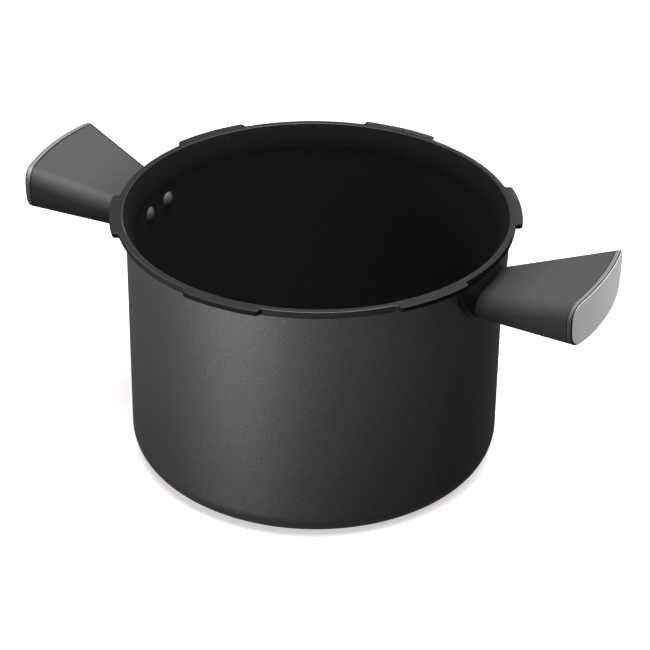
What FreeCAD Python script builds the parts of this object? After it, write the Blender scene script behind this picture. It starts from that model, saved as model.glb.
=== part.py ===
import FreeCAD, Part
import math
import os

# Pan body of a 6 litre bayonet pressure cooker with two riveted side handles.
# Millimetres. Origin: centre of the underside. +Z up, +X along the handles.

# Pan body: one pressed aluminium shell
INNER_RADIUS = 109.0
WALL = 4.5
BODY_HEIGHT = 160.0
BASE_THICKNESS = 5.0
BASE_OUTER_CORNER = 15.5
BASE_INNER_CORNER = 12.0

# Rim: the wall flares out to a narrow flange that carries the bayonet lugs
LIP_FLARE = 6.5
FLARE_ANGLE = 38.0
FLARE_BEND = 16.0
FLANGE_REACH = 5.7
FLANGE_HEIGHT = 4.6
FLANGE_ROOT_FILLET = 2.0
FLANGE_LOWER_ROUND = 1.0
LIP_ROUND = 0.8
RIM_EDGE_ROUND = 0.5

LUG_COUNT = 6
LUG_FIRST_ANGLE = 30.0
LUG_SPAN = 22.8
LUG_REACH = 4.0
LUG_THICKNESS = 3.4
LUG_CORNER = 2.2
LUG_ROOT_FILLET = 1.4
LUG_LOWER_ROUND = 0.6

# Induction disc pressed flush into the flat of the underside
DISC_MARGIN = 6.0
DISC_THICKNESS = 0.8
DISC_RIM = 20.0
DISC_HOLE_RADIUS = 3.0
DISC_RING_HOLES = (8, 16, 24)

# Handle shape: section sizes just inside the wall and at the end boundary
HANDLE_LENGTH = 66.5
HANDLE_DROP = 27.9
ROOT_HALF_WIDTH = 22.3
ROOT_HEIGHT = 19.5
ROOT_CORNER = 9.5
ROOT_FULLNESS = 0.61
END_HALF_WIDTH = 41.2
END_HEIGHT = 30.7
END_CORNER = 9.0
END_FULLNESS = 0.90
END_RISE = 14.7
ROOT_INSET = 1.5

# Grip: hollow phenolic moulding
GRIP_WALL = 4.0
GRIP_EDGE = 0.4
SMALLEST_CORNER = 1.0
CAP_THICKNESS = 2.9
CAP_EDGE = 0.5
CAP_SPIGOT_DEPTH = 5.0
CAP_SPIGOT_WALL = 2.0
CAP_CLEARANCE = 0.2
PLATE_THICKNESS = 0.8
PLATE_INSET = 0.9
PLATE_EDGE = 0.25

# Heat shield between the wall and the grip
SHIELD_THICKNESS = 2.5
SHIELD_HALF_WIDTH = 36.3
SHIELD_TOP_DROP = 8.0
SHIELD_DEPTH = 30.5
SHIELD_FULLNESS = 0.55
SHIELD_EDGE = 0.6
SHIELD_CLEARANCE = 0.5

# Bracket: cast foot with a tapped boss, riveted to the wall
BRACKET_THICKNESS = 2.0
BRACKET_HALF_WIDTH = 17.0
BRACKET_HEIGHT = 14.0
BRACKET_CORNER = 3.0
BOSS_WIDTH = 13.0
BOSS_HEIGHT = 11.0
BOSS_EDGE = 1.5
BOSS_LENGTH = 20.0
BOSS_CLEARANCE = 0.4

RIVET_SPACING = 23.0
RIVET_LIFT = 3.0
RIVET_RADIUS = 2.5
RIVET_INNER_HEAD = 4.75
RIVET_INNER_RISE = 2.2
RIVET_OUTER_HEAD = 4.0
RIVET_OUTER_RISE = 1.6
RIVET_CLEARANCE = 0.05

# Clamp screw along the handle's axis, from the hollow of the grip into the boss
SCREW_RADIUS = 2.5
SCREW_HEAD_RADIUS = 4.6
SCREW_HEAD_HEIGHT = 3.2
SCREW_HEAD_ROUND = 1.3
SCREW_ENGAGEMENT = 12.0
SCREW_SOCKET = 3.0
SCREW_SOCKET_DEPTH = 1.9
SCREW_BORE_CLEARANCE = 0.3
THREAD_CLEARANCE = 0.05
TAP_RUNOUT = 2.0
BULKHEAD = 9.0
SPOT_FACE_DEPTH = 16.0
WASHER_RADIUS = 5.0
WASHER_THICKNESS = 1.0
SPRING_WASHER_RADIUS = 4.4
SPRING_WASHER_THICKNESS = 1.2
SPRING_WASHER_GAP = 0.8
SEAT_CLEARANCE = 0.6

# Working allowances: blanks run past the faces that trim them
OVERRUN = 5.0
NEAR = 0.01

# Derived places
OUTER_RADIUS = INNER_RADIUS + WALL
DISC_RADIUS = OUTER_RADIUS - BASE_OUTER_CORNER - DISC_MARGIN
DISC_RING_PITCH = (DISC_RADIUS - DISC_RIM) / len(DISC_RING_HOLES)
FLANGE_RADIUS = OUTER_RADIUS + FLANGE_REACH
LUG_RADIUS = FLANGE_RADIUS + LUG_REACH
SHIELD_RADIUS = OUTER_RADIUS + SHIELD_THICKNESS
GRIP_END_RADIUS = OUTER_RADIUS + HANDLE_LENGTH
CAP_RADIUS = GRIP_END_RADIUS + CAP_THICKNESS
PLATE_RADIUS = CAP_RADIUS + PLATE_THICKNESS
ROOT_X = OUTER_RADIUS - ROOT_INSET
ROOT_Z = BODY_HEIGHT - HANDLE_DROP
RIVET_Z = ROOT_Z + RIVET_LIFT
BRACKET_Z = ROOT_Z + RIVET_LIFT / 2.0
AXIS_ANGLE = math.atan2(END_RISE, GRIP_END_RADIUS - ROOT_X)
BOSS_END = ROOT_INSET + BRACKET_THICKNESS + BOSS_LENGTH
SEAT_START = BOSS_END + BOSS_CLEARANCE + BULKHEAD
FAR = 2.0 * PLATE_RADIUS


def vec(x, y, z):
    return FreeCAD.Vector(x, y, z)


UP = vec(0, 0, 1)
OUT = vec(1, 0, 0)


def rounded_wire(corners, place):
    """Closed wire through (a, b, radius) corners, each rounded by its own radius."""
    edges = []
    starts = []
    ends = []
    count = len(corners)
    for i in range(count):
        here = vec(corners[i][0], corners[i][1], 0)
        back = (vec(corners[i - 1][0], corners[i - 1][1], 0) - here).normalize()
        following = corners[(i + 1) % count]
        ahead = (vec(following[0], following[1], 0) - here).normalize()
        radius = corners[i][2]
        half_angle = back.getAngle(ahead) / 2.0
        reach = radius / math.tan(half_angle)
        starts.append(here + back * reach)
        ends.append(here + ahead * reach)
        if radius > 0:
            toward_middle = (back + ahead).normalize()
            depth = radius / math.sin(half_angle) - radius
            middle = here + toward_middle * depth
            arc = Part.Arc(place(starts[-1]), place(middle), place(ends[-1]))
            edges.append(arc.toShape())
    for i in range(count):
        a = place(ends[i])
        b = place(starts[(i + 1) % count])
        if (a - b).Length > NEAR:
            edges.append(Part.LineSegment(a, b).toShape())
    return Part.Wire(Part.__sortEdges__(edges))


def on_side_plane(p):
    """Sketch plane through the pan's axis: first coordinate is the radius."""
    return vec(p.x, 0, p.y)


def on_cross_plane(p):
    """Sketch plane across the handle: first coordinate is Y, second is Z."""
    return vec(0, p.x, p.y)


def prism(corners, x_from, x_to):
    """Rounded outline in Y and Z, carried along X."""
    face = Part.Face(rounded_wire(corners, on_cross_plane))
    face.translate(vec(x_from, 0, 0))
    return face.extrude(vec(x_to - x_from, 0, 0))


def ring_band(inner, outer):
    """Tall ring about the pan's axis, to trim handle pieces to a radius range."""
    low = vec(0, 0, -BODY_HEIGHT)
    height = 3.0 * BODY_HEIGHT
    return Part.makeCylinder(outer, height, low, UP).cut(Part.makeCylinder(inner, height, low, UP))


def on_axis(distance, side=0.0):
    """Point on the handle's sloping axis, at a distance from its root section."""
    x = ROOT_X + distance * math.cos(AXIS_ANGLE)
    z = ROOT_Z + distance * math.sin(AXIS_ANGLE)
    return vec(x, side, z)


def axis_direction():
    return vec(math.cos(AXIS_ANGLE), 0, math.sin(AXIS_ANGLE))


def axis_rod(radius, start, end):
    """Cylinder along the handle's axis."""
    return Part.makeCylinder(radius, end - start, on_axis(start), axis_direction())


def sloped_block(width, height, edge, start, end):
    """Block along the handle's axis with four rounded long edges."""
    block = Part.makeBox(end - start, width, height, vec(start, -width / 2.0, -height / 2.0))
    long_edges = [e for e in block.Edges if abs(e.tangentAt(e.FirstParameter).x) > 0.9]
    block = block.makeFillet(edge, long_edges)
    block.rotate(vec(0, 0, 0), vec(0, 1, 0), -math.degrees(AXIS_ANGLE))
    block.translate(vec(ROOT_X, 0, ROOT_Z))
    return block


# ---------------------------------------------------------------- pan body

def lug_blank(centre_angle):
    """One bayonet lug: a sector of the ring outside the flange, flush with the rim."""
    bottom = vec(0, 0, BODY_HEIGHT - LUG_THICKNESS)
    sector = Part.makeCylinder(LUG_RADIUS, LUG_THICKNESS, bottom, UP, LUG_SPAN)
    core = Part.makeCylinder(FLANGE_RADIUS - FLANGE_REACH / 2.0, LUG_THICKNESS, bottom, UP)
    lug = sector.cut(core)
    lug.rotate(vec(0, 0, 0), UP, centre_angle - LUG_SPAN / 2.0)
    return lug


def is_upright(edge):
    a = edge.Vertexes[0].Point
    b = edge.Vertexes[-1].Point
    return math.hypot(a.x - b.x, a.y - b.y) < NEAR and abs(a.z - b.z) > NEAR


def edge_radius(edge):
    p = edge.valueAt((edge.FirstParameter + edge.LastParameter) / 2.0)
    return math.hypot(p.x, p.y)


def is_level(edge, z):
    return all(abs(v.Point.z - z) < NEAR for v in edge.Vertexes)


def lies_at_radius(edge, radius):
    points = edge.discretize(5)
    return all(abs(math.hypot(p.x, p.y) - radius) < NEAR for p in points)


def base_disc():
    """Steel disc for induction, with rings of holes that the body's metal fills."""
    disc = Part.makeCylinder(DISC_RADIUS, DISC_THICKNESS)
    holes = []
    for ring, count in enumerate(DISC_RING_HOLES):
        radius = DISC_RING_PITCH * (ring + 1)
        for i in range(count):
            a = 2.0 * math.pi * i / count
            spot = vec(radius * math.cos(a), radius * math.sin(a), 0)
            holes.append(Part.makeCylinder(DISC_HOLE_RADIUS, DISC_THICKNESS, spot, UP))
    return disc.cut(Part.makeCompound(holes))


def rivet_angle():
    return math.degrees(math.asin(RIVET_SPACING / 2.0 / OUTER_RADIUS))


def rivet_rods(radius):
    """The two rivets' centre lines as rods, square to the wall, on the +X side."""
    rods = []
    for sign in (-1, 1):
        rod = Part.makeCylinder(radius, OUTER_RADIUS, vec(INNER_RADIUS / 2.0, 0, RIVET_Z), OUT)
        rod.rotate(vec(0, 0, 0), UP, sign * rivet_angle())
        rods.append(rod)
    return rods


def pot_body():
    """Shell of revolution with flange and lugs, pierced by the four rivets."""
    lip_radius = INNER_RADIUS + LIP_FLARE
    flare_start = BODY_HEIGHT - LIP_FLARE / math.tan(math.radians(FLARE_ANGLE))
    under_flange = BODY_HEIGHT - FLANGE_HEIGHT
    profile = [
        (0, 0, 0),
        (OUTER_RADIUS, 0, BASE_OUTER_CORNER),
        (OUTER_RADIUS, under_flange, FLANGE_ROOT_FILLET),
        (FLANGE_RADIUS, under_flange, FLANGE_LOWER_ROUND),
        (FLANGE_RADIUS, BODY_HEIGHT, 0),
        (lip_radius, BODY_HEIGHT, LIP_ROUND),
        (INNER_RADIUS, flare_start, FLARE_BEND),
        (INNER_RADIUS, BASE_THICKNESS, BASE_INNER_CORNER),
        (0, BASE_THICKNESS, 0),
    ]
    face = Part.Face(rounded_wire(profile, on_side_plane))
    body = face.revolve(vec(0, 0, 0), UP, 360)
    step = 360.0 / LUG_COUNT
    lugs = [lug_blank(LUG_FIRST_ANGLE + step * i) for i in range(LUG_COUNT)]
    body = body.fuse(lugs).removeSplitter()

    corners = [e for e in body.Edges if is_upright(e) and abs(edge_radius(e) - LUG_RADIUS) < NEAR]
    body = body.makeFillet(LUG_CORNER, corners)
    lug_bottom = BODY_HEIGHT - LUG_THICKNESS
    lower = [e for e in body.Edges if is_level(e, lug_bottom) and edge_radius(e) > FLANGE_RADIUS + NEAR]
    body = body.makeFillet(LUG_LOWER_ROUND, lower)
    roots = [e for e in body.Edges if is_upright(e) and abs(edge_radius(e) - FLANGE_RADIUS) < NEAR]
    body = body.makeFillet(LUG_ROOT_FILLET, roots)
    top = [e for e in body.Edges if is_level(e, BODY_HEIGHT) and edge_radius(e) > FLANGE_RADIUS - NEAR]
    body = body.makeFillet(RIM_EDGE_ROUND, top)

    for rod in rivet_rods(RIVET_RADIUS + RIVET_CLEARANCE):
        body = body.cut(rod)
        body = body.cut(turned(rod))
    return body.cut(base_disc())


# ---------------------------------------------------------------- handles, drawn on the +X side

def bowl_half(x, half_width, shoulder, bottom, fullness, sign):
    """Half of an underside: upright at the shoulder, level at the bottom middle."""
    poles = [
        vec(x, sign * half_width, shoulder),
        vec(x, sign * half_width, shoulder - fullness * (shoulder - bottom)),
        vec(x, sign * fullness * half_width, bottom),
        vec(x, 0, bottom),
    ]
    if sign < 0:
        poles.reverse()
    curve = Part.BezierCurve()
    curve.setPoles(poles)
    return curve.toShape()


def section(x, inset):
    """Handle section at x: flat top, round upper corners, full bowed underside."""
    t = (x - ROOT_X) / (GRIP_END_RADIUS - ROOT_X)
    half_width = ROOT_HALF_WIDTH + t * (END_HALF_WIDTH - ROOT_HALF_WIDTH) - inset
    height = ROOT_HEIGHT + t * (END_HEIGHT - ROOT_HEIGHT) - 2.0 * inset
    corner = max(ROOT_CORNER + t * (END_CORNER - ROOT_CORNER) - inset, SMALLEST_CORNER)
    fullness = ROOT_FULLNESS + t * (END_FULLNESS - ROOT_FULLNESS)
    middle = ROOT_Z + t * END_RISE
    top = middle + height / 2.0
    bottom = middle - height / 2.0
    shoulder = top - corner
    lean = corner * math.sqrt(0.5)

    def corner_arc(sign):
        centre = sign * (half_width - corner)
        a = vec(x, centre, top)
        b = vec(x, centre + sign * lean, shoulder + lean)
        c = vec(x, sign * half_width, shoulder)
        if sign > 0:
            return Part.Arc(a, b, c).toShape()
        return Part.Arc(c, b, a).toShape()

    flat = half_width - corner
    top_edge = Part.LineSegment(vec(x, -flat, top), vec(x, flat, top)).toShape()
    right_belly = bowl_half(x, half_width, shoulder, bottom, fullness, 1)
    left_belly = bowl_half(x, half_width, shoulder, bottom, fullness, -1)
    return Part.Wire([top_edge, corner_arc(1), right_belly, left_belly, corner_arc(-1)])


def handle_blank(inset, x_from, x_to):
    """Straight taper through the handle sections, shrunk all round by the inset."""
    return Part.makeLoft([section(x_from, inset), section(x_to, inset)], True, True)


def box_outline(half_width, half_height, middle, corner):
    """Rounded rectangle in Y and Z, centred on the handle's plane of symmetry."""
    return [
        (-half_width, middle - half_height, corner),
        (half_width, middle - half_height, corner),
        (half_width, middle + half_height, corner),
        (-half_width, middle + half_height, corner),
    ]


def bracket_outline(growth):
    half_width = BRACKET_HALF_WIDTH + growth
    half_height = BRACKET_HEIGHT / 2.0 + growth
    corner = BRACKET_CORNER + growth
    return box_outline(half_width, half_height, BRACKET_Z, corner)


def bracket():
    """Curved foot against the wall and a tapped boss along the handle's axis."""
    foot = prism(bracket_outline(0), 0, FAR)
    foot = foot.common(ring_band(OUTER_RADIUS, OUTER_RADIUS + BRACKET_THICKNESS))
    boss = sloped_block(BOSS_WIDTH, BOSS_HEIGHT, BOSS_EDGE, 0, BOSS_END)
    boss = boss.cut(Part.makeCylinder(OUTER_RADIUS, 2.0 * BODY_HEIGHT, vec(0, 0, 0), UP))
    shape = foot.fuse(boss).removeSplitter()
    tap_start = BOSS_END - SCREW_ENGAGEMENT - TAP_RUNOUT
    shape = shape.cut(axis_rod(SCREW_RADIUS + THREAD_CLEARANCE, tap_start, FAR))
    for rod in rivet_rods(RIVET_RADIUS + RIVET_CLEARANCE):
        shape = shape.cut(rod)
    return shape


def head_arc(seat, radius, rise, sign):
    """Section of a low round head, from its crown on the axis to the edge of its seat."""
    ball = (radius * radius + rise * rise) / (2.0 * rise)
    centre = seat + sign * (rise - ball)
    half = math.asin(radius / ball) / 2.0
    crown = vec(seat + sign * rise, 0, 0)
    middle = vec(centre + sign * ball * math.cos(half), 0, ball * math.sin(half))
    return Part.Arc(crown, middle, vec(seat, 0, radius)).toShape()


def rivets():
    """Two rivets with domed heads inside the pan and formed heads on the bracket."""
    inner_seat = math.sqrt(INNER_RADIUS ** 2 - RIVET_INNER_HEAD ** 2)
    outer_seat = OUTER_RADIUS + BRACKET_THICKNESS
    shank_start = vec(inner_seat, 0, RIVET_RADIUS)
    shank_end = vec(outer_seat, 0, RIVET_RADIUS)
    crowns = (vec(inner_seat - RIVET_INNER_RISE, 0, 0), vec(outer_seat + RIVET_OUTER_RISE, 0, 0))
    outline = [
        head_arc(inner_seat, RIVET_INNER_HEAD, RIVET_INNER_RISE, -1),
        Part.LineSegment(vec(inner_seat, 0, RIVET_INNER_HEAD), shank_start).toShape(),
        Part.LineSegment(shank_start, shank_end).toShape(),
        Part.LineSegment(shank_end, vec(outer_seat, 0, RIVET_OUTER_HEAD)).toShape(),
        head_arc(outer_seat, RIVET_OUTER_HEAD, RIVET_OUTER_RISE, 1),
        Part.LineSegment(crowns[1], crowns[0]).toShape(),
    ]
    section_face = Part.Face(Part.Wire(Part.__sortEdges__(outline)))
    rivet = section_face.revolve(vec(0, 0, 0), OUT, 360)
    rivet.translate(vec(0, 0, RIVET_Z))
    pair = []
    for sign in (-1, 1):
        one = rivet.copy()
        one.rotate(vec(0, 0, 0), UP, sign * rivet_angle())
        pair.append(one)
    return Part.makeCompound(pair)


def heat_shield():
    """Black pad on the wall under the rim: straight top, half-oval sides."""
    top = BODY_HEIGHT - SHIELD_TOP_DROP
    bottom = top - SHIELD_DEPTH
    top_edge = Part.LineSegment(vec(0, -SHIELD_HALF_WIDTH, top), vec(0, SHIELD_HALF_WIDTH, top)).toShape()
    right_side = bowl_half(0, SHIELD_HALF_WIDTH, top, bottom, SHIELD_FULLNESS, 1)
    left_side = bowl_half(0, SHIELD_HALF_WIDTH, top, bottom, SHIELD_FULLNESS, -1)
    pad = Part.Face(Part.Wire([top_edge, right_side, left_side])).extrude(vec(FAR, 0, 0))
    pad = pad.common(ring_band(OUTER_RADIUS, SHIELD_RADIUS))
    front = [e for e in pad.Edges if lies_at_radius(e, SHIELD_RADIUS)]
    pad = pad.makeFillet(SHIELD_EDGE, front)
    return pad.cut(prism(bracket_outline(SHIELD_CLEARANCE), 0, FAR))


def grip():
    """Hollow tapered grip, seated on the shield and open at its outer end."""
    shape = handle_blank(0, ROOT_X - OVERRUN, PLATE_RADIUS + OVERRUN)
    shape = shape.common(ring_band(SHIELD_RADIUS, GRIP_END_RADIUS))
    mouth = [e for e in shape.Edges if lies_at_radius(e, GRIP_END_RADIUS)]
    shape = shape.makeChamfer(GRIP_EDGE, mouth)

    hollow_start = on_axis(SEAT_START).x + GRIP_WALL
    shape = shape.cut(handle_blank(GRIP_WALL, hollow_start, PLATE_RADIUS + OVERRUN))
    spot_face = axis_rod(WASHER_RADIUS + SEAT_CLEARANCE, SEAT_START, SEAT_START + SPOT_FACE_DEPTH)
    screw_bore = axis_rod(SCREW_RADIUS + SCREW_BORE_CLEARANCE, 0, SEAT_START + GRIP_WALL)
    pocket_width = BOSS_WIDTH + 2.0 * BOSS_CLEARANCE
    pocket_height = BOSS_HEIGHT + 2.0 * BOSS_CLEARANCE
    pocket_edge = BOSS_EDGE + BOSS_CLEARANCE
    boss_pocket = sloped_block(pocket_width, pocket_height, pocket_edge, 0, BOSS_END + BOSS_CLEARANCE)

    half_width = RIVET_SPACING / 2.0 + RIVET_OUTER_HEAD + SEAT_CLEARANCE
    half_height = RIVET_OUTER_HEAD + SEAT_CLEARANCE
    head_outline = box_outline(half_width, half_height, RIVET_Z, BRACKET_CORNER)
    head_depth = OUTER_RADIUS + BRACKET_THICKNESS + RIVET_OUTER_RISE + SEAT_CLEARANCE
    head_pocket = prism(head_outline, 0, FAR).common(ring_band(OUTER_RADIUS, head_depth))
    return shape.cut([spot_face, screw_bore, boss_pocket, head_pocket])


def clamp_screw():
    """Pan-head screw through the grip's bulkhead into the bracket's boss."""
    head_start = SEAT_START + WASHER_THICKNESS + SPRING_WASHER_THICKNESS
    shank = axis_rod(SCREW_RADIUS, BOSS_END - SCREW_ENGAGEMENT, head_start)
    head = axis_rod(SCREW_HEAD_RADIUS, head_start, head_start + SCREW_HEAD_HEIGHT)
    head_middle = on_axis(head_start + SCREW_HEAD_HEIGHT / 2.0).x
    rim = [e for e in head.Edges if e.Closed and e.CenterOfMass.x > head_middle]
    head = head.makeFillet(SCREW_HEAD_ROUND, rim)
    socket_corner = SCREW_SOCKET / math.sqrt(3.0)
    points = []
    for i in range(7):
        a = math.radians(60.0 * i)
        points.append(vec(0, socket_corner * math.cos(a), socket_corner * math.sin(a)))
    socket = Part.Face(Part.makePolygon(points)).extrude(vec(SCREW_SOCKET_DEPTH, 0, 0))
    socket.rotate(vec(0, 0, 0), vec(0, 1, 0), -math.degrees(AXIS_ANGLE))
    socket.translate(on_axis(head_start + SCREW_HEAD_HEIGHT - SCREW_SOCKET_DEPTH))
    return shank.fuse(head).cut(socket).removeSplitter()


def ring_on_axis(outer, start, thickness):
    bore = SCREW_RADIUS + SCREW_BORE_CLEARANCE
    return axis_rod(outer, start, start + thickness).cut(axis_rod(bore, start, start + thickness))


def plain_washer():
    return ring_on_axis(WASHER_RADIUS, SEAT_START, WASHER_THICKNESS)


def spring_washer():
    """Split ring between the plain washer and the screw's head."""
    start = SEAT_START + WASHER_THICKNESS
    ring = ring_on_axis(SPRING_WASHER_RADIUS, start, SPRING_WASHER_THICKNESS)
    length = 3.0 * SPRING_WASHER_THICKNESS
    slot = Part.makeBox(length, SPRING_WASHER_GAP, 2.0 * SPRING_WASHER_RADIUS)
    slot.translate(vec(-length / 2.0, -SPRING_WASHER_GAP / 2.0, 0))
    slot.rotate(vec(0, 0, 0), vec(0, 1, 0), -math.degrees(AXIS_ANGLE))
    slot.translate(on_axis(start + SPRING_WASHER_THICKNESS / 2.0))
    return ring.cut(slot)


def end_cap():
    """Moulded closure that carries on the grip's sides, with a spigot into its hollow."""
    cap = handle_blank(0, ROOT_X, PLATE_RADIUS + OVERRUN).common(ring_band(GRIP_END_RADIUS, CAP_RADIUS))
    front = [e for e in cap.Edges if lies_at_radius(e, CAP_RADIUS)]
    cap = cap.makeFillet(CAP_EDGE, front)
    fit = GRIP_WALL + CAP_CLEARANCE
    spigot = handle_blank(fit, ROOT_X, PLATE_RADIUS)
    spigot = spigot.cut(handle_blank(fit + CAP_SPIGOT_WALL, ROOT_X, PLATE_RADIUS))
    spigot = spigot.common(ring_band(GRIP_END_RADIUS - CAP_SPIGOT_DEPTH, GRIP_END_RADIUS))
    return cap.fuse(spigot).removeSplitter()


def end_plate():
    """Thin bright plate bonded to the cap's face, set in from its edge."""
    plate = handle_blank(PLATE_INSET, ROOT_X, PLATE_RADIUS + OVERRUN)
    plate = plate.common(ring_band(CAP_RADIUS, PLATE_RADIUS))
    front = [e for e in plate.Edges if lies_at_radius(e, PLATE_RADIUS)]
    return plate.makeFillet(PLATE_EDGE, front)


def turned(shape):
    """The same piece on the other side of the pan."""
    other = shape.copy()
    other.rotate(vec(0, 0, 0), UP, 180)
    return other


HANDLE_PIECES = {
    "bracket": bracket,
    "rivets": rivets,
    "heat_shield": heat_shield,
    "grip": grip,
    "plain_washer": plain_washer,
    "spring_washer": spring_washer,
    "clamp_screw": clamp_screw,
    "end_cap": end_cap,
    "end_plate": end_plate,
}


def main():
    os.makedirs("parts", exist_ok=True)
    pieces = {"pot_body": pot_body(), "base_disc": base_disc()}
    for name, build in HANDLE_PIECES.items():
        shape = build()
        pieces["right_" + name] = shape
        pieces["left_" + name] = turned(shape)
    for name, shape in pieces.items():
        shape.exportStep("parts/" + name + ".step")
        print(name, "valid", shape.isValid(), "solids", len(shape.Solids), "volume", round(shape.Volume, 1))


main()
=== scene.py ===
import bpy
import bmesh
import math
from mathutils import Matrix, Vector


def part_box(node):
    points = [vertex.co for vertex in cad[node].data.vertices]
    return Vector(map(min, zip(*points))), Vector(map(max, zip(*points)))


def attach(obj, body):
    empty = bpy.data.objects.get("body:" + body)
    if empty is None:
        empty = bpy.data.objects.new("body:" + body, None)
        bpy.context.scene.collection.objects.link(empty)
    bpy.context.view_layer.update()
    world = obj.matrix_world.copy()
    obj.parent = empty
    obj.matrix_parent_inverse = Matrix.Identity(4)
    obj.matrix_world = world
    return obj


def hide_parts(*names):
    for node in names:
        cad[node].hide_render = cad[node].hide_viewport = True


# The pan of a bayonet pressure cooker: a dark coated aluminium shell with a
# lugged rim and two grey handles. Metres, in the CAD model's own frame.
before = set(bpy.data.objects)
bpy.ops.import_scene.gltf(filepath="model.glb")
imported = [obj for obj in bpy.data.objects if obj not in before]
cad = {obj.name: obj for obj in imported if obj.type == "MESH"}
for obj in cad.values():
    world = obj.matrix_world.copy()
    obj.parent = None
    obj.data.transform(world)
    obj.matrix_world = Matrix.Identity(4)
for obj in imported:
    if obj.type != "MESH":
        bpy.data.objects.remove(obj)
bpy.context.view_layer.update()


# ---------------------------------------------------------------- room
# A pale studio: one plain floor lit a little from below, broad daylight from
# above, and an even sky to open up the shadows.
FLOOR_RADIUS = 6.0
FLOOR_DROP = 0.0002
WINDOW_WHITE = (1.0, 0.985, 0.97)

floor_mesh = bpy.data.meshes.new("studio_floor")
bm = bmesh.new()
bmesh.ops.create_circle(bm, cap_ends=True, segments=64, radius=FLOOR_RADIUS)
bm.to_mesh(floor_mesh)
bm.free()
floor = bpy.data.objects.new("studio_floor", floor_mesh)
bpy.context.scene.collection.objects.link(floor)
floor.location = (0.0, 0.0, -FLOOR_DROP)
floor.visible_glossy = False
floor.visible_diffuse = False

paper = bpy.data.materials.new("pale_paper")
paper.use_nodes = True
paper_shader = paper.node_tree.nodes["Principled BSDF"]
paper_shader.inputs["Base Color"].default_value = (0.98, 0.965, 0.95, 1.0)
paper_shader.inputs["Roughness"].default_value = 0.9
paper_shader.inputs["Specular IOR Level"].default_value = 0.1
paper_shader.inputs["Emission Color"].default_value = (1.0, 0.965, 0.935, 1.0)
paper_shader.inputs["Emission Strength"].default_value = 0.55
floor_mesh.materials.append(paper)

sky = bpy.data.worlds.new("studio_sky")
sky.use_nodes = True
sky.node_tree.nodes["Background"].inputs["Color"].default_value = (1.0, 0.985, 0.965, 1.0)
sky.node_tree.nodes["Background"].inputs["Strength"].default_value = 0.14
bpy.context.scene.world = sky
bpy.context.scene.view_settings.view_transform = "Standard"

daylight = bpy.data.lights.new("daylight_above", "SUN")
daylight.energy = 4.1
daylight.angle = math.radians(55.0)
daylight.color = WINDOW_WHITE
daylight_holder = bpy.data.objects.new("daylight_above", daylight)
bpy.context.scene.collection.objects.link(daylight_holder)
daylight_holder.rotation_mode = "QUATERNION"
daylight_holder.rotation_quaternion = Vector((-0.12, 0.0, -1.0)).to_track_quat("-Z", "Y")


# ---------------------------------------------------------------- camera
# A long lens from above the right front, so that the rim reads as an open
# ellipse and the right handle comes forward.
CAMERA_AZIMUTH = math.radians(26.1)
CAMERA_ELEVATION = math.radians(31.373)
CAMERA_DISTANCE = 1.4252
CAMERA_TARGET = Vector((0.0, 0.0, 0.07945))
CAMERA_YAW = math.radians(0.249)
CAMERA_ROLL = math.radians(0.579)

away = Vector((
    math.sin(CAMERA_AZIMUTH) * math.cos(CAMERA_ELEVATION),
    -math.cos(CAMERA_AZIMUTH) * math.cos(CAMERA_ELEVATION),
    math.sin(CAMERA_ELEVATION),
))
across = Vector((math.cos(CAMERA_AZIMUTH), math.sin(CAMERA_AZIMUTH), 0.0))
upward = across.cross(-away)
ahead = -away * math.cos(CAMERA_YAW) + across * math.sin(CAMERA_YAW)
across = across * math.cos(CAMERA_YAW) + away * math.sin(CAMERA_YAW)
level = across * math.cos(CAMERA_ROLL) + upward * math.sin(CAMERA_ROLL)
upright = upward * math.cos(CAMERA_ROLL) - across * math.sin(CAMERA_ROLL)

lens = bpy.data.cameras.new("studio_camera")
lens.lens = 128.5
lens.sensor_width = 36.0
camera = bpy.data.objects.new("studio_camera", lens)
bpy.context.scene.collection.objects.link(camera)
pose = Matrix((level, upright, -ahead)).transposed().to_4x4()
camera.matrix_world = Matrix.Translation(CAMERA_TARGET + away * CAMERA_DISTANCE) @ pose
bpy.context.scene.camera = camera


# ---------------------------------------------------------------- pan body
# One pressed aluminium shell, spun true: satin dark grey coating outside,
# black non-stick inside, and a turned lip with six bayonet lugs between them.
PAN_INNER = 0.109
PAN_OUTER = 0.1135
FLOOR_THICKNESS = 0.005
FLOOR_RING = 0.045
OUTER_CORNER = 0.0155
INNER_CORNER = 0.012
RIM_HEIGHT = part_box("pot_body")[1].z
FLANGE_RADIUS = 0.1192
FLANGE_THICKNESS = 0.0046
FLANGE_ROOT = 0.002
FLANGE_ROUND = 0.001
LIP_FLARE = 0.0065
LIP_ROUND = 0.0008
FLARE_MIDDLE = (0.0035, 0.00384)
FLARE_DEPTH = 0.00832
FLARE_BEND = 0.016
LUG_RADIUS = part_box("pot_body")[1].y
LUG_THICKNESS = 0.0034
DISC_RADIUS = 0.092
DISC_THICKNESS = 0.0008
PEG_RINGS = ((0.024, 8), (0.048, 16), (0.072, 24))
PEG_RADIUS = 0.003
PEG_ROOT = 0.0002
LUG_END_ROUND = 0.0022
LUG_ROOT_ROUND = 0.0014
LUG_LOWER_ROUND = 0.0009
RIM_EDGE_ROUND = 0.0005
STEPS = 300
STEP = 2 * math.pi / STEPS
FIRST_LUG = 15.5 * STEP
LUG_STEPS = 19
GAP_STEPS = 31
SHARP_ANGLE = math.radians(35.0)
MERGE = 1e-6


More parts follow.
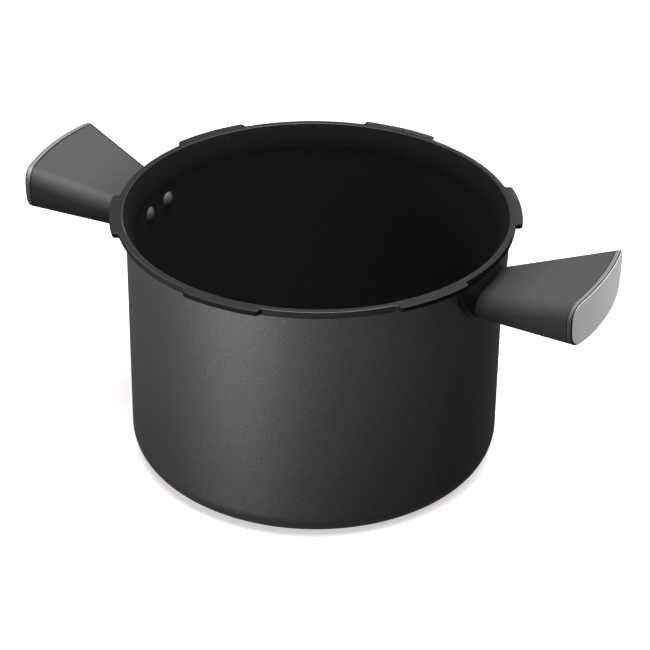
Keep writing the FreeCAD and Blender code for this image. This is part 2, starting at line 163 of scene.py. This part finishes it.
def rounded_profile(bm, corners):
    """An open chain of edges in the XZ plane, each corner rounded by its own radius and segments."""
    points = [bm.verts.new((out, 0.0, up)) for out, up, _, _ in corners]
    for first, second in zip(points, points[1:]):
        bm.edges.new((first, second))
    for point, (_, _, radius, segments) in zip(points, corners):
        if radius:
            arms = [(edge.other_vert(point).co - point.co).normalized() for edge in point.link_edges]
            reach = radius / math.tan(arms[0].angle(arms[1]) / 2)
            bmesh.ops.bevel(
                bm, geom=[point], offset=reach, segments=segments, profile=0.5,
                affect="VERTICES", clamp_overlap=False, material=-1,
            )


def finished_mesh(bm, name, finishes):
    """Turns the faces outwards, sets their shading, and puts the mesh on the body as a piece."""
    bmesh.ops.recalc_face_normals(bm, faces=bm.faces)
    mesh = bpy.data.meshes.new(name)
    bm.to_mesh(mesh)
    bm.free()
    for finish in finishes:
        mesh.materials.append(finish)
    mesh.polygons.foreach_set("use_smooth", [True] * len(mesh.polygons))
    mesh.set_sharp_from_angle(angle=SHARP_ANGLE)
    piece = bpy.data.objects.new(name, mesh)
    bpy.context.scene.collection.objects.link(piece)
    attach(piece, "root")
    return piece


bm = bmesh.new()
rounded_profile(bm, [
    (0.0, DISC_THICKNESS, 0.0, 0),
    (DISC_RADIUS, DISC_THICKNESS, 0.0, 0),
    (DISC_RADIUS, 0.0, 0.0, 0),
    (PAN_OUTER, 0.0, OUTER_CORNER, 14),
    (PAN_OUTER, RIM_HEIGHT - FLANGE_THICKNESS, FLANGE_ROOT, 4),
    (FLANGE_RADIUS, RIM_HEIGHT - FLANGE_THICKNESS, FLANGE_ROUND, 3),
    (FLANGE_RADIUS, RIM_HEIGHT - LUG_THICKNESS, 0.0, 0),
    (FLANGE_RADIUS, RIM_HEIGHT, 0.0, 0),
    (PAN_INNER + LIP_FLARE, RIM_HEIGHT, LIP_ROUND, 4),
    (PAN_INNER + FLARE_MIDDLE[0], RIM_HEIGHT - FLARE_MIDDLE[1], 0.0, 0),
    (PAN_INNER, RIM_HEIGHT - FLARE_DEPTH, FLARE_BEND, 8),
    (PAN_INNER, FLOOR_THICKNESS, INNER_CORNER, 12),
    (FLOOR_RING, FLOOR_THICKNESS, 0.0, 0),
    (0.0, FLOOR_THICKNESS, 0.0, 0),
])
bmesh.ops.rotate(bm, verts=bm.verts, cent=(0, 0, 0), matrix=Matrix.Rotation(STEP / 2, 3, "Z"))
bmesh.ops.spin(
    bm, geom=bm.verts[:] + bm.edges[:], cent=(0, 0, 0), axis=(0, 0, 1),
    angle=2 * math.pi, steps=STEPS, use_merge=True,
)
bmesh.ops.remove_doubles(bm, verts=bm.verts, dist=MERGE)
bmesh.ops.recalc_face_normals(bm, faces=bm.faces)


def steps_round(point):
    """Where a point lies round the rim, in steps from the start of the nearest lug before it."""
    return ((math.atan2(point.y, point.x) - FIRST_LUG) / STEP) % (LUG_STEPS + GAP_STEPS)


def on_flange_face(face):
    """Whether a face is on the upright outer side of the flange, as high as the lugs."""
    middle = face.calc_center_median()
    high = middle.z > RIM_HEIGHT - LUG_THICKNESS
    return high and abs(middle.xy.length - FLANGE_RADIUS) < 1e-4 and abs(face.normal.z) < 0.1


# The six bayonet lugs are drawn out of the flange's outer face.
lug_faces = [
    face for face in bm.faces
    if on_flange_face(face) and steps_round(face.calc_center_median()) < LUG_STEPS
]
drawn = bmesh.ops.extrude_face_region(bm, geom=lug_faces)
bmesh.ops.delete(bm, geom=lug_faces, context="FACES_ONLY")
lug_verts = [v for v in drawn["geom"] if isinstance(v, bmesh.types.BMVert)]
stretch = LUG_RADIUS / FLANGE_RADIUS
bmesh.ops.scale(bm, vec=(stretch, stretch, 1.0), verts=lug_verts)


def is_corner(edge):
    """Whether two faces meet along an edge at more than one radian."""
    return edge.is_manifold and edge.calc_face_angle() > 1.0


def upright_edges(radius):
    """The upright edges at a lug's ends, at one radius."""
    found = []
    for edge in bm.edges:
        a, b = (v.co for v in edge.verts)
        at_radius = abs(a.xy.length - radius) < 1e-5 and abs(b.xy.length - radius) < 1e-5
        if at_radius and abs(a.z - b.z) > 0.003 and is_corner(edge):
            found.append(edge)
    return found


for radius, rounding in ((LUG_RADIUS, LUG_END_ROUND), (FLANGE_RADIUS, LUG_ROOT_ROUND)):
    bmesh.ops.bevel(
        bm, geom=upright_edges(radius), offset=rounding, segments=4, profile=0.5,
        affect="EDGES", clamp_overlap=False, material=-1,
    )
bmesh.ops.recalc_face_normals(bm, faces=bm.faces)


def outer_edges(height, beyond):
    """The rim's outer edges at one height, past one radius, where top or underside meets the side."""
    found = []
    for edge in bm.edges:
        a, b = (v.co for v in edge.verts)
        at_height = abs(a.z - height) < 1e-5 and abs(b.z - height) < 1e-5
        if at_height and min(a.xy.length, b.xy.length) > beyond and is_corner(edge):
            found.append(edge)
    return found


lug_underside = outer_edges(RIM_HEIGHT - LUG_THICKNESS, FLANGE_RADIUS + 1e-4)
bmesh.ops.bevel(
    bm, geom=lug_underside, offset=LUG_LOWER_ROUND, segments=3, profile=0.5,
    affect="EDGES", clamp_overlap=False, material=-1,
)
rim_top = outer_edges(RIM_HEIGHT, FLANGE_RADIUS - 1e-4)
bmesh.ops.bevel(
    bm, geom=rim_top, offset=RIM_EDGE_ROUND, segments=3, profile=0.5,
    affect="EDGES", clamp_overlap=False, material=-1,
)
bmesh.ops.remove_doubles(bm, verts=bm.verts, dist=MERGE)

# Pegs of the shell's own metal stand in its underside, in the disc's holes.
PEG_HEIGHT = DISC_THICKNESS + PEG_ROOT
for ring_radius, count in PEG_RINGS:
    for index in range(count):
        round_ring = Matrix.Rotation(2 * math.pi * index / count, 4, "Z")
        spot = round_ring @ Matrix.Translation((ring_radius, 0.0, PEG_HEIGHT / 2))
        bmesh.ops.create_cone(
            bm, cap_ends=True, segments=32, radius1=PEG_RADIUS, radius2=PEG_RADIUS,
            depth=PEG_HEIGHT, matrix=spot,
        )

# Each face takes the finish of its zone; the rest keep the outer coat.
NON_STICK, LIP_METAL, LUG_EDGE_SHADE, FLANGE_EDGE_SHADE = 1, 2, 3, 4
FLARE_END = PAN_INNER + 0.0052
FLARE_START = PAN_INNER + FLARE_MIDDLE[0]
bm.normal_update()
for face in bm.faces:
    middle = face.calc_center_median()
    radius = middle.xy.length
    depth = RIM_HEIGHT - middle.z
    on_flare = radius < FLARE_END and depth < 0.0045
    on_inside = radius < FLARE_START and middle.z > 0.004 and face.normal.z > -0.01
    on_rim_top = depth < RIM_EDGE_ROUND and face.normal.z > 0.9
    on_lip = radius < PAN_INNER + 0.0066 and depth < 0.006
    if on_flare or on_inside:
        face.material_index = NON_STICK
    elif on_rim_top or on_lip:
        face.material_index = LIP_METAL
    # The upright outer faces of lugs and flange take near-black finishes of painted shade.
    elif radius > FLANGE_RADIUS + 0.0008 and depth < 0.0026:
        face.material_index = LUG_EDGE_SHADE
    elif radius > FLANGE_RADIUS - 0.0004 and abs(face.normal.z) < 0.7:
        face.material_index = FLANGE_EDGE_SHADE


def new_finish(name):
    """An empty finish, its shader, and where it is in object space."""
    finish = bpy.data.materials.new(name)
    finish.use_nodes = True
    tree = finish.node_tree
    place = tree.nodes.new("ShaderNodeTexCoord")
    return finish, tree, tree.nodes["Principled BSDF"], place.outputs["Object"]


def speckle(tree, place, scale):
    """Fine even grain, from 0 to 1."""
    grain = tree.nodes.new("ShaderNodeTexNoise")
    grain.inputs["Scale"].default_value = scale
    grain.inputs["Detail"].default_value = 2.0
    tree.links.new(place, grain.inputs["Vector"])
    return grain.outputs["Fac"]


def between(tree, value, low, high, out_low, out_high):
    """Carries a value from one range to another."""
    span = tree.nodes.new("ShaderNodeMapRange")
    span.inputs["From Min"].default_value = low
    span.inputs["From Max"].default_value = high
    span.inputs["To Min"].default_value = out_low
    span.inputs["To Max"].default_value = out_high
    tree.links.new(value, span.inputs["Value"])
    return span.outputs["Result"]


def shade(tree, share, first, second):
    """First colour where the share is 0, second where it is 1."""
    mix = tree.nodes.new("ShaderNodeMix")
    mix.data_type = "RGBA"
    tree.links.new(share, mix.inputs["Factor"])
    mix.inputs["A"].default_value = (*first, 1.0)
    mix.inputs["B"].default_value = (*second, 1.0)
    return mix.outputs["Result"]


def part_of(tree, place, axis):
    """One coordinate of a place."""
    parts = tree.nodes.new("ShaderNodeSeparateXYZ")
    tree.links.new(place, parts.inputs["Vector"])
    return parts.outputs[axis]


def dimmed(tree, colour, share):
    """A colour times a share."""
    scaled = tree.nodes.new("ShaderNodeVectorMath")
    scaled.operation = "SCALE"
    tree.links.new(colour, scaled.inputs["Vector"])
    tree.links.new(share, scaled.inputs["Scale"])
    return scaled.outputs["Vector"]


def relief(tree, shader, height, strength, depth):
    """Turns a height into fine relief on the shader."""
    bump = tree.nodes.new("ShaderNodeBump")
    bump.inputs["Strength"].default_value = strength
    bump.inputs["Distance"].default_value = depth
    tree.links.new(height, bump.inputs["Height"])
    tree.links.new(bump.outputs["Normal"], shader.inputs["Normal"])


# Sprayed outer coating with a metallic fleck; painted shade darkens it low on the wall and lightens it
# towards the top.
outer_coat, tree, shader, place = new_finish("outer_coat")
grain = speckle(tree, place, 1500.0)
fleck = between(tree, grain, 0.3, 0.7, 0.0, 1.0)
flecked = shade(tree, fleck, (0.055, 0.056, 0.056), (0.095, 0.097, 0.097))
painted_height_shade = between(tree, part_of(tree, place, "Z"), 0.0, 0.15, 0.55, 1.2)
tree.links.new(dimmed(tree, flecked, painted_height_shade), shader.inputs["Base Color"])
shader.inputs["Roughness"].default_value = 0.46
shader.inputs["Metallic"].default_value = 0.85
shader.inputs["Specular IOR Level"].default_value = 0.35
relief(tree, shader, grain, 0.25, 0.00006)

# Black non-stick, nearly without shine; painted shade darkens it towards the lip.
non_stick, tree, shader, place = new_finish("non_stick")
grain = speckle(tree, place, 900.0)
fleck = between(tree, grain, 0.35, 0.7, 0.0, 1.0)
flecked = shade(tree, fleck, (0.0185, 0.0195, 0.0215), (0.031, 0.032, 0.0345))
painted_lip_shade = between(tree, part_of(tree, place, "Z"), 0.138, 0.156, 1.0, 0.4)
tree.links.new(dimmed(tree, flecked, painted_lip_shade), shader.inputs["Base Color"])
tree.links.new(between(tree, grain, 0.3, 0.7, 0.74, 0.84), shader.inputs["Roughness"])
shader.inputs["Specular IOR Level"].default_value = 0.05
relief(tree, shader, grain, 0.2, 0.00005)

# The turned lip, dark anodised with a fine even grain.
lip_metal, tree, shader, place = new_finish("lip_metal")
grain = speckle(tree, place, 1500.0)
tree.links.new(shade(tree, grain, (0.036, 0.037, 0.037), (0.064, 0.065, 0.065)), shader.inputs["Base Color"])
tree.links.new(between(tree, grain, 0.3, 0.7, 0.42, 0.5), shader.inputs["Roughness"])
shader.inputs["Metallic"].default_value = 0.7
relief(tree, shader, grain, 0.15, 0.00005)

# The upright outer faces of lugs and flange, painted almost black as shade.
edges = []
for name, tone in (("lug_edge_painted_shade", 0.002), ("flange_edge_painted_shade", 0.009)):
    edge_painted_shade, tree, shader, place = new_finish(name)
    shader.inputs["Base Color"].default_value = (tone, tone, tone, 1.0)
    shader.inputs["Roughness"].default_value = 0.7
    shader.inputs["Specular IOR Level"].default_value = 0.06
    relief(tree, shader, speckle(tree, place, 1500.0), 0.2, 0.00005)
    edges.append(edge_painted_shade)

pan = finished_mesh(bm, "pan_shell", [outer_coat, non_stick, lip_metal, *edges])
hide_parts("pot_body")


def dress(node, finish):
    """Puts a finish on a CAD node."""
    for slot in cad[node].material_slots:
        slot.material = finish


# ---------------------------------------------------------------- base disc
# Stainless steel disc for induction, pressed flush into the underside; the
# body's own metal fills its rings of holes.
steel, tree, shader, place = new_finish("disc_steel")
shader.inputs["Base Color"].default_value = (0.55, 0.55, 0.56, 1.0)
shader.inputs["Metallic"].default_value = 1.0
shader.inputs["Roughness"].default_value = 0.32
relief(tree, shader, speckle(tree, place, 900.0), 0.15, 0.00003)
dress("base_disc", steel)


# ---------------------------------------------------------------- rivets
# Two aluminium rivets a side hold the handle's bracket; their low domed
# heads show inside the pan.
rivet_metal, tree, shader, place = new_finish("rivet_metal")
shader.inputs["Base Color"].default_value = (0.34, 0.34, 0.35, 1.0)
shader.inputs["Metallic"].default_value = 0.7
shader.inputs["Roughness"].default_value = 0.42
relief(tree, shader, speckle(tree, place, 1200.0), 0.2, 0.00004)
for side in ("right", "left"):
    dress(side + "_rivets", rivet_metal)


# ---------------------------------------------------------------- hardware
# Cast bracket, clamp screw and washers, hidden in the root of the grip.
casting, tree, shader, place = new_finish("cast_aluminium")
shader.inputs["Base Color"].default_value = (0.6, 0.6, 0.62, 1.0)
shader.inputs["Metallic"].default_value = 1.0
shader.inputs["Roughness"].default_value = 0.55
relief(tree, shader, speckle(tree, place, 700.0), 0.5, 0.0001)
bright_steel, tree, shader, place = new_finish("screw_steel")
shader.inputs["Base Color"].default_value = (0.62, 0.62, 0.63, 1.0)
shader.inputs["Metallic"].default_value = 1.0
shader.inputs["Roughness"].default_value = 0.28
relief(tree, shader, speckle(tree, place, 2000.0), 0.1, 0.00002)
for side in ("right", "left"):
    dress(side + "_bracket", casting)
    for part in ("_plain_washer", "_spring_washer", "_clamp_screw"):
        dress(side + part, bright_steel)


# ---------------------------------------------------------------- heat shields
# Thin black moulding in heat-resisting plastic, held between the pan's wall
# and the root of the grip.
shield_black, tree, shader, place = new_finish("shield_black")
shader.inputs["Base Color"].default_value = (0.004, 0.004, 0.0045, 1.0)
shader.inputs["Roughness"].default_value = 0.3
relief(tree, shader, speckle(tree, place, 1200.0), 0.15, 0.00004)
for side in ("right", "left"):
    dress(side + "_heat_shield", shield_black)


# ---------------------------------------------------------------- grips
# Hollow moulding in matte grey phenolic with a fine spark-eroded texture,
# darker at the root with painted shade from the rim, and held by a screw inside.
grip_grey, tree, shader, place = new_finish("grip_grey")
grain = speckle(tree, place, 1300.0)
colour = shade(tree, between(tree, grain, 0.3, 0.7, 0.0, 1.0), (0.060, 0.064, 0.062), (0.077, 0.082, 0.079))
outward = tree.nodes.new("ShaderNodeMath")
outward.operation = "ABSOLUTE"
tree.links.new(part_of(tree, place, "X"), outward.inputs[0])
# Painted shade: the grip's colour darkens towards its root, under the rim.
painted_root_shade = between(tree, outward.outputs["Value"], 0.118, 0.15, 0.55, 1.08)
tree.links.new(dimmed(tree, colour, painted_root_shade), shader.inputs["Base Color"])
shader.inputs["Roughness"].default_value = 0.62
relief(tree, shader, grain, 0.3, 0.00007)
for side in ("right", "left"):
    dress(side + "_grip", grip_grey)


# ---------------------------------------------------------------- end caps
# Satin metallic grey moulding that closes the grip's end, pushed into its
# hollow; dark seams show where it meets the grip and the plate.
GRIP_END = 0.180
CAP_FACE = 0.1829


def from_axis(tree, place):
    """How far a point lies from the pan's upright axis."""
    flat = tree.nodes.new("ShaderNodeVectorMath")
    flat.operation = "MULTIPLY"
    tree.links.new(place, flat.inputs[0])
    flat.inputs[1].default_value = (1.0, 1.0, 0.0)
    radial = tree.nodes.new("ShaderNodeVectorMath")
    radial.operation = "LENGTH"
    tree.links.new(flat.outputs["Vector"], radial.inputs[0])
    return radial.outputs["Value"]


cap_grey, tree, shader, place = new_finish("cap_grey")
radial = from_axis(tree, place)
clear_of_grip = between(tree, radial, GRIP_END + 0.0004, GRIP_END + 0.0006, 0.0, 1.0)
clear_of_plate = between(tree, radial, CAP_FACE - 0.0002, CAP_FACE - 0.0001, 1.0, 0.0)
clear = tree.nodes.new("ShaderNodeMath")
clear.operation = "MULTIPLY"
tree.links.new(clear_of_grip, clear.inputs[0])
tree.links.new(clear_of_plate, clear.inputs[1])
banded = shade(tree, clear.outputs["Value"], (0.02, 0.02, 0.02), (0.27, 0.275, 0.265))
tree.links.new(banded, shader.inputs["Base Color"])
shader.inputs["Metallic"].default_value = 0.25
shader.inputs["Roughness"].default_value = 0.5
relief(tree, shader, speckle(tree, place, 1500.0), 0.15, 0.00004)
for side in ("right", "left"):
    dress(side + "_end_cap", cap_grey)


# ---------------------------------------------------------------- end plates
# Thin satin metal plate bonded to the cap's face, its cut edge left dark.
PLATE_FACE = 0.1837
plate_silver, tree, shader, place = new_finish("plate_silver")
on_face = between(tree, from_axis(tree, place), PLATE_FACE - 0.0003, PLATE_FACE - 0.0002, 0.0, 1.0)
tree.links.new(shade(tree, on_face, (0.05, 0.05, 0.05), (0.80, 0.80, 0.79)), shader.inputs["Base Color"])
shader.inputs["Metallic"].default_value = 0.3
shader.inputs["Roughness"].default_value = 0.45
relief(tree, shader, speckle(tree, place, 1500.0), 0.1, 0.00003)
for side in ("right", "left"):
    dress(side + "_end_plate", plate_silver)


# ---------------------------------------------------------------- windows
# Three soft windows shape the round body, two on the right reach the right
# handle and the handle ends; flags keep each off the other pieces.
def soft_window(name, at, aim, width, height, power, flagged_to=()):
    """A rectangular soft light, turned towards a point and flagged off all but some pieces."""
    lamp = bpy.data.lights.new(name, "AREA")
    lamp.shape = "RECTANGLE"
    lamp.size = width
    lamp.size_y = height
    lamp.energy = power
    lamp.color = WINDOW_WHITE
    holder = bpy.data.objects.new(name, lamp)
    bpy.context.scene.collection.objects.link(holder)
    holder.location = at
    holder.visible_camera = False
    holder.rotation_mode = "QUATERNION"
    holder.rotation_quaternion = (Vector(aim) - Vector(at)).to_track_quat("-Z", "Y")
    if flagged_to:
        lit = bpy.data.collections.new(name + "_reach")
        for piece in flagged_to:
            lit.objects.link(piece)
        holder.light_linking.receiver_collection = lit


soft_window("window_left", (-0.30, -1.285, 0.06), (0.0, 0.0, 0.12), 0.22, 0.18, 42.0, [pan])
soft_window("window_back", (-0.2, 1.4, 0.10), (0.0, 0.0, 0.08), 0.6, 0.3, 12.0, [pan])
soft_window("window_far_left", (-1.5, -0.2, 0.45), (0.0, 0.0, 0.10), 0.8, 0.8, 5.5, [pan])
end_pieces = [cad[side + part] for side in ("right", "left") for part in ("_end_plate", "_end_cap")]
soft_window("window_right", (0.32, 0.16, 0.24), (0.18, 0.02, 0.14), 0.10, 0.10, 0.3, end_pieces)
soft_window("window_grip", (0.75, -0.6, 0.12), (0.15, 0.0, 0.14), 0.4, 0.3, 2.4, [cad["right_grip"]])
